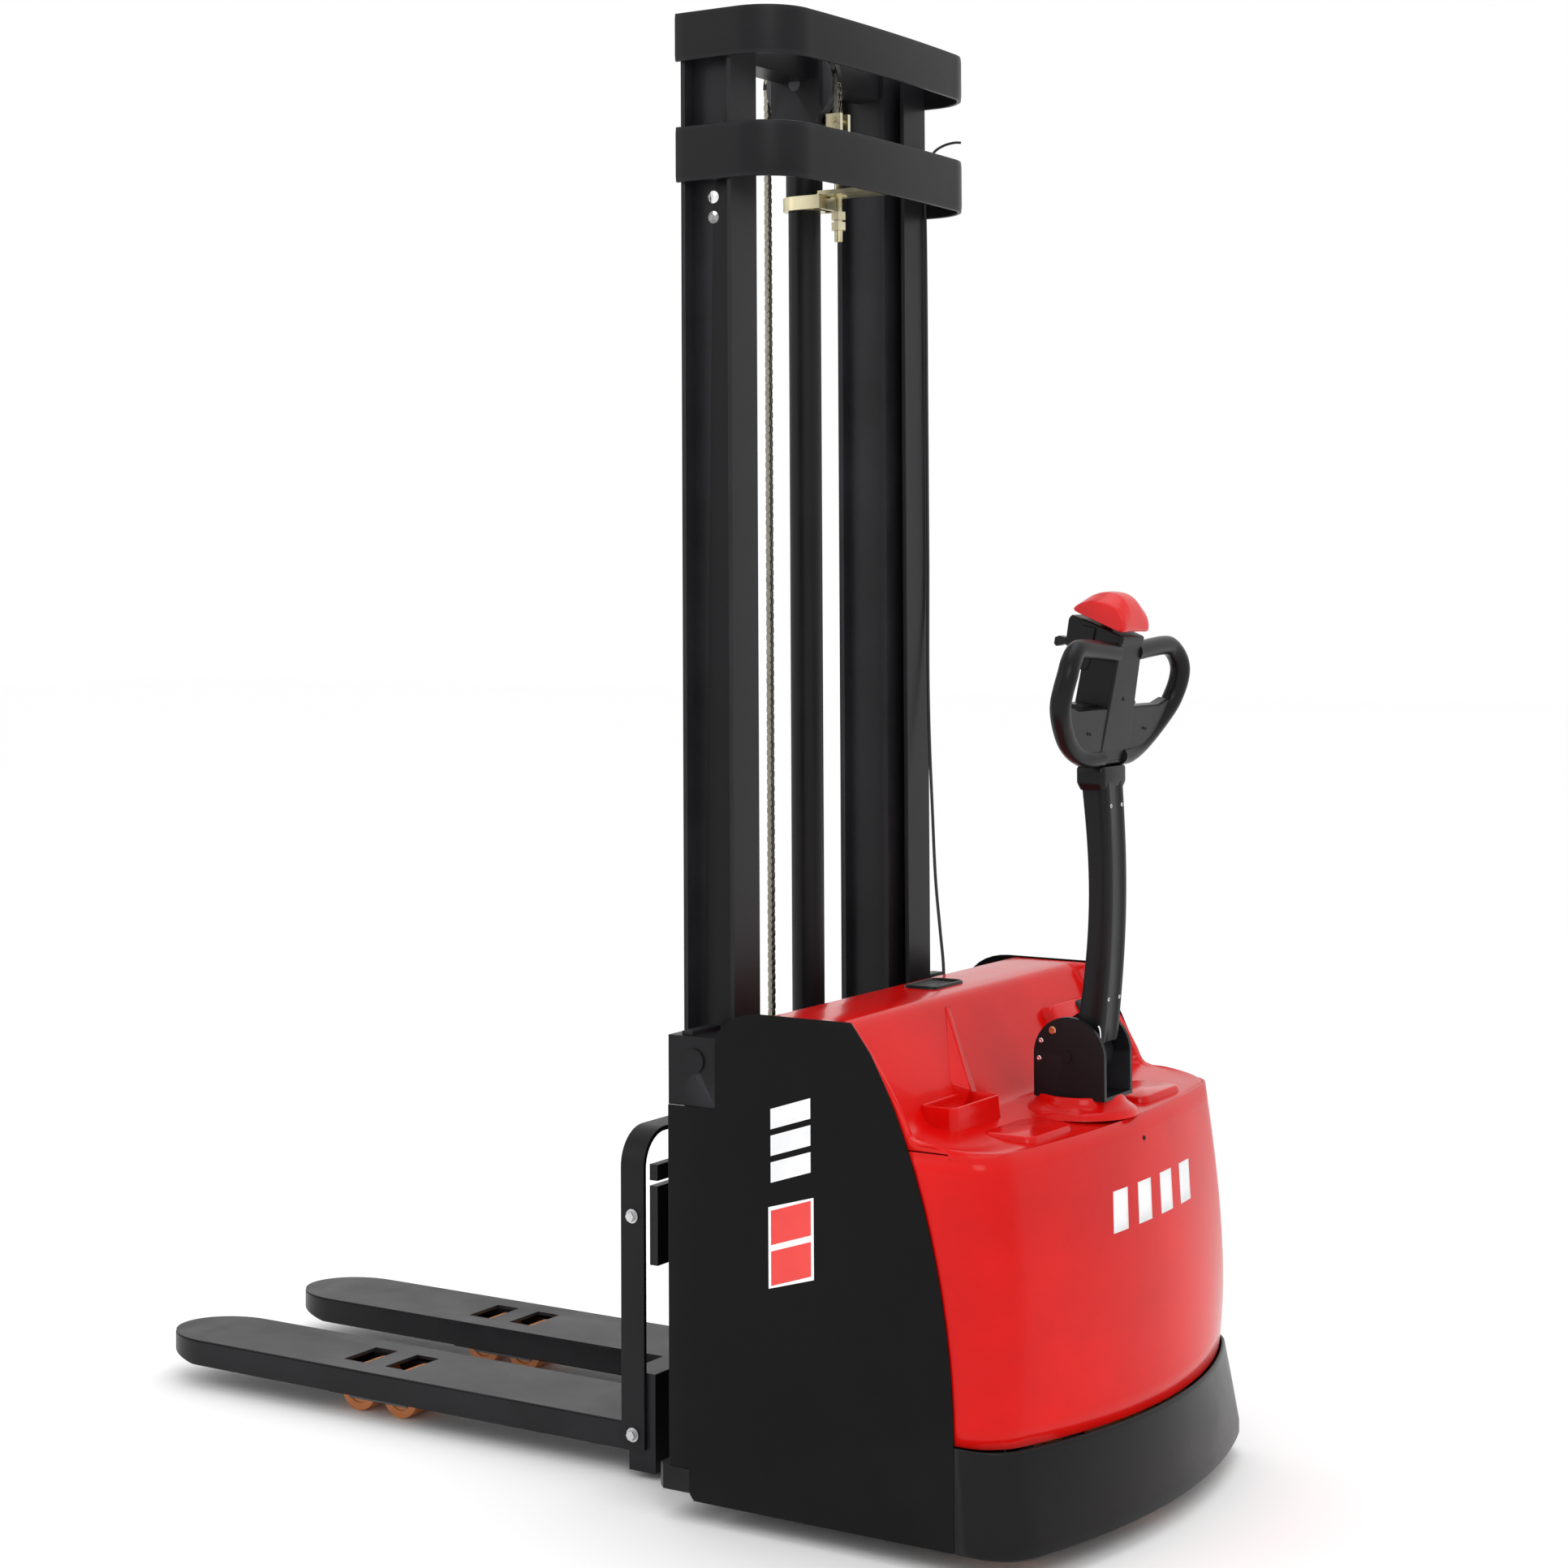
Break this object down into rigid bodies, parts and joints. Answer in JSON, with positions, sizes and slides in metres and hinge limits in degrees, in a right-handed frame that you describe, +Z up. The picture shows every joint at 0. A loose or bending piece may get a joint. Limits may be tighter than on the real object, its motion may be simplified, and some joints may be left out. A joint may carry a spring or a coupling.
{
  "type": "walkie stacker",
  "caption": "Pedestrian stacker with a two-stage mast, wrap-over forks on support legs, a rounded covered drive end and a tilting steering tiller with hand loops.",
  "frame": {"origin": "centre of the bounding box in plan, on the floor under the load rollers and wheels", "axes": "+Z up, -X towards the fork tips, +X towards the operator, -Y towards the side with the storage tray"},
  "size_m": [2, 0.85, 2.463],
  "materials": {
    "black_paint": "semi-gloss black powder coat",
    "battery_case": "ribbed battery case",
    "motor_grey": "cast housing",
    "aluminium": "cast aluminium",
    "zinc": "zinc plated",
    "rubber": "black rubber",
    "panel_black": "fine-grained matt black",
    "red_plastic": "glossy red",
    "black_plastic": "satin black moulding",
    "rod_chrome": "hard chrome",
    "chain_steel": "oiled chain steel",
    "roller_steel": "ground steel",
    "grey_steel": "grey primer",
    "polyurethane": "amber polyurethane tread",
    "stop_red": "gloss red",
    "yellow_plastic": "gloss yellow",
    "caster_tread": "polyurethane tread"
  },
  "bodies": {
    "chassis": {"chassis_frame": "black_paint", "support_leg_left": "black_paint", "support_leg_right": "black_paint", "battery_pack": "battery_case", "hydraulic_unit": "motor_grey", "motor_controller": "aluminium", "fixed_upright_left": "black_paint", "fixed_upright_right": "black_paint", "fixed_mast_band": "black_paint", "lift_cylinder": "black_paint", "chain_anchor": "zinc", "mast_cable": "rubber", "cable_fittings": "rubber", "side_panel_left": "panel_black", "side_panel_right": "panel_black", "hood": "red_plastic", "rear_cover": "red_plastic", "skirt": "black_plastic", "instrument_panel": "black_plastic"},
    "moving_mast": {"moving_beam_left": "black_paint", "moving_beam_right": "black_paint", "moving_mast_band": "black_paint", "mast_crosshead": "black_paint", "mast_lower_tie": "black_paint", "lift_rod": "rod_chrome", "chain_fixed_strand": "chain_steel", "chain_lift_strand": "chain_steel"},
    "pulley": {"chain_pulley": "motor_grey"},
    "mast_rollers_top": {"upper_mast_rollers": "roller_steel"},
    "mast_rollers_bottom": {"lower_mast_rollers": "roller_steel"},
    "carriage": {"carriage_frame": "black_paint", "fork_left": "black_paint", "fork_right": "black_paint", "guard_hoop": "black_paint", "guard_bolts": "zinc"},
    "carriage_rollers_top": {"upper_carriage_rollers": "roller_steel"},
    "carriage_rollers_bottom": {"lower_carriage_rollers": "roller_steel"},
    "steering": {"tiller_clevis": "black_paint", "drive_unit": "motor_grey", "drive_motor": "grey_steel", "tiller_pin": "roller_steel"},
    "drive_wheel": {"drive_wheel": "polyurethane"},
    "tiller": {"tiller_arm": "black_paint", "tiller_head": "black_plastic"},
    "belly_button": {"belly_button": "stop_red"},
    "throttle": {"throttle_rocker": "black_plastic"},
    "lift_switch": {"lift_rocker": "black_plastic"},
    "horn": {"horn_button": "yellow_plastic"},
    "key": {"key_switch": "roller_steel"},
    "stop_button": {"emergency_stop": "stop_red"},
    "bogie_left": {"bogie_left": "grey_steel"},
    "bogie_right": {"bogie_right": "grey_steel"},
    "roller_left_front": {"load_roller_left_front": "polyurethane"},
    "roller_left_rear": {"load_roller_left_rear": "polyurethane"},
    "roller_right_front": {"load_roller_right_front": "polyurethane"},
    "roller_right_rear": {"load_roller_right_rear": "polyurethane"},
    "caster_left": {"caster_yoke_left": "zinc"},
    "caster_right": {"caster_yoke_right": "zinc"},
    "caster_wheel_left": {"caster_wheel_left": "caster_tread"},
    "caster_wheel_right": {"caster_wheel_right": "caster_tread"}
  },
  "joints": [
    {"name": "mast_lift", "type": "slide", "parent": "chassis", "child": "moving_mast", "axis": [0, 0, 1], "range_m": [0, 1.75], "deforming": ["chain_fixed_strand"]},
    {"name": "carriage_lift", "type": "slide", "parent": "moving_mast", "child": "carriage", "axis": [0, 0, 1], "range_m": [0, 1.75], "deforming": ["chain_lift_strand"]},
    {"name": "pulley_spin", "type": "hinge", "parent": "moving_mast", "child": "pulley", "pos_m": [0.297, 0, 2.384], "axis": [0, 1, 0], "range_deg": [-5, 1400]},
    {"name": "mast_rollers_top_spin", "type": "hinge", "parent": "chassis", "child": "mast_rollers_top", "pos_m": [0.285, 0, 2.379], "axis": [0, 1, 0], "range_deg": [-2600, 5]},
    {"name": "mast_rollers_bottom_spin", "type": "hinge", "parent": "moving_mast", "child": "mast_rollers_bottom", "pos_m": [0.31, 0, 0.15], "axis": [0, 1, 0], "range_deg": [-5, 2450]},
    {"name": "carriage_rollers_top_spin", "type": "hinge", "parent": "carriage", "child": "carriage_rollers_top", "pos_m": [0.285, 0, 0.56], "axis": [0, 1, 0], "range_deg": [-2600, 5]},
    {"name": "carriage_rollers_bottom_spin", "type": "hinge", "parent": "carriage", "child": "carriage_rollers_bottom", "pos_m": [0.285, 0, 0.14], "axis": [0, 1, 0], "range_deg": [-5, 2600]},
    {"name": "steering", "type": "hinge", "parent": "chassis", "child": "steering", "pos_m": [0.826, 0, 0.27], "axis": [0, 0, 1], "range_deg": [-90, 90]},
    {"name": "drive_wheel_spin", "type": "hinge", "parent": "steering", "child": "drive_wheel", "pos_m": [0.826, 0, 0.115], "axis": [0, 1, 0], "continuous": true},
    {"name": "tiller_tilt", "type": "hinge", "parent": "steering", "child": "tiller", "pos_m": [0.827, 0, 0.734], "axis": [0, 1, 0], "range_deg": [0, 80], "stiffness_Nm_per_rad": 30, "springref_deg": -22.92},
    {"name": "belly_button_press", "type": "slide", "parent": "tiller", "child": "belly_button", "axis": [-0.1805, 0, -0.9836], "range_m": [0, 0.005], "stiffness_N_per_m": 1500, "springref_m": -0.002},
    {"name": "throttle_turn", "type": "hinge", "parent": "tiller", "child": "throttle", "pos_m": [0.84736, 0, 1.4128], "axis": [0, 1, 0], "range_deg": [-12, 12], "stiffness_Nm_per_rad": 0.6},
    {"name": "lift_switch_rock", "type": "hinge", "parent": "tiller", "child": "lift_switch", "pos_m": [0.86065, 0, 1.34122], "axis": [0, 1, 0], "range_deg": [-6, 6], "stiffness_Nm_per_rad": 0.4},
    {"name": "horn_press", "type": "slide", "parent": "tiller", "child": "horn", "axis": [0.9836, 0, -0.1805], "range_m": [0, 0.0025], "stiffness_N_per_m": 800, "springref_m": -0.002},
    {"name": "key_turn", "type": "hinge", "parent": "chassis", "child": "key", "pos_m": [0.666, 0.317, 0.738], "axis": [0.876, 0, 0.4823], "range_deg": [0, 60]},
    {"name": "stop_button_press", "type": "slide", "parent": "chassis", "child": "stop_button", "axis": [-0.876, 0, -0.4823], "range_m": [0, 0.005]},
    {"name": "bogie_left_rock", "type": "hinge", "parent": "chassis", "child": "bogie_left", "pos_m": [-0.485, -0.1835, 0.044], "axis": [0, 1, 0], "range_deg": [-5, 5]},
    {"name": "roller_left_front_spin", "type": "hinge", "parent": "bogie_left", "child": "roller_left_front", "pos_m": [-0.534, -0.1835, 0.04], "axis": [0, 1, 0], "continuous": true},
    {"name": "roller_left_rear_spin", "type": "hinge", "parent": "bogie_left", "child": "roller_left_rear", "pos_m": [-0.436, -0.1835, 0.04], "axis": [0, 1, 0], "continuous": true},
    {"name": "caster_left_swivel", "type": "hinge", "parent": "chassis", "child": "caster_left", "pos_m": [0.804, -0.3, 0.16], "axis": [0, 0, 1], "continuous": true},
    {"name": "caster_wheel_left_spin", "type": "hinge", "parent": "caster_left", "child": "caster_wheel_left", "pos_m": [0.834, -0.3, 0.062], "axis": [0, 1, 0], "continuous": true},
    {"name": "bogie_right_rock", "type": "hinge", "parent": "chassis", "child": "bogie_right", "pos_m": [-0.485, 0.1835, 0.044], "axis": [0, 1, 0], "range_deg": [-5, 5]},
    {"name": "roller_right_front_spin", "type": "hinge", "parent": "bogie_right", "child": "roller_right_front", "pos_m": [-0.534, 0.1835, 0.04], "axis": [0, 1, 0], "continuous": true},
    {"name": "roller_right_rear_spin", "type": "hinge", "parent": "bogie_right", "child": "roller_right_rear", "pos_m": [-0.436, 0.1835, 0.04], "axis": [0, 1, 0], "continuous": true},
    {"name": "caster_right_swivel", "type": "hinge", "parent": "chassis", "child": "caster_right", "pos_m": [0.804, 0.3, 0.16], "axis": [0, 0, 1], "continuous": true},
    {"name": "caster_wheel_right_spin", "type": "hinge", "parent": "caster_right", "child": "caster_wheel_right", "pos_m": [0.834, 0.3, 0.062], "axis": [0, 1, 0], "continuous": true}
  ],
  "couplings": [
    {"joint": "carriage_lift", "follows": "mast_lift", "ratio": 1},
    {"joint": "pulley_spin", "follows": "mast_lift", "rad_per_m": 13.699},
    {"joint": "mast_rollers_top_spin", "follows": "mast_lift", "rad_per_m": -25.253},
    {"joint": "mast_rollers_bottom_spin", "follows": "mast_lift", "rad_per_m": 24.038},
    {"joint": "carriage_rollers_top_spin", "follows": "mast_lift", "rad_per_m": -25.253},
    {"joint": "carriage_rollers_bottom_spin", "follows": "mast_lift", "rad_per_m": 25.253}
  ]
}
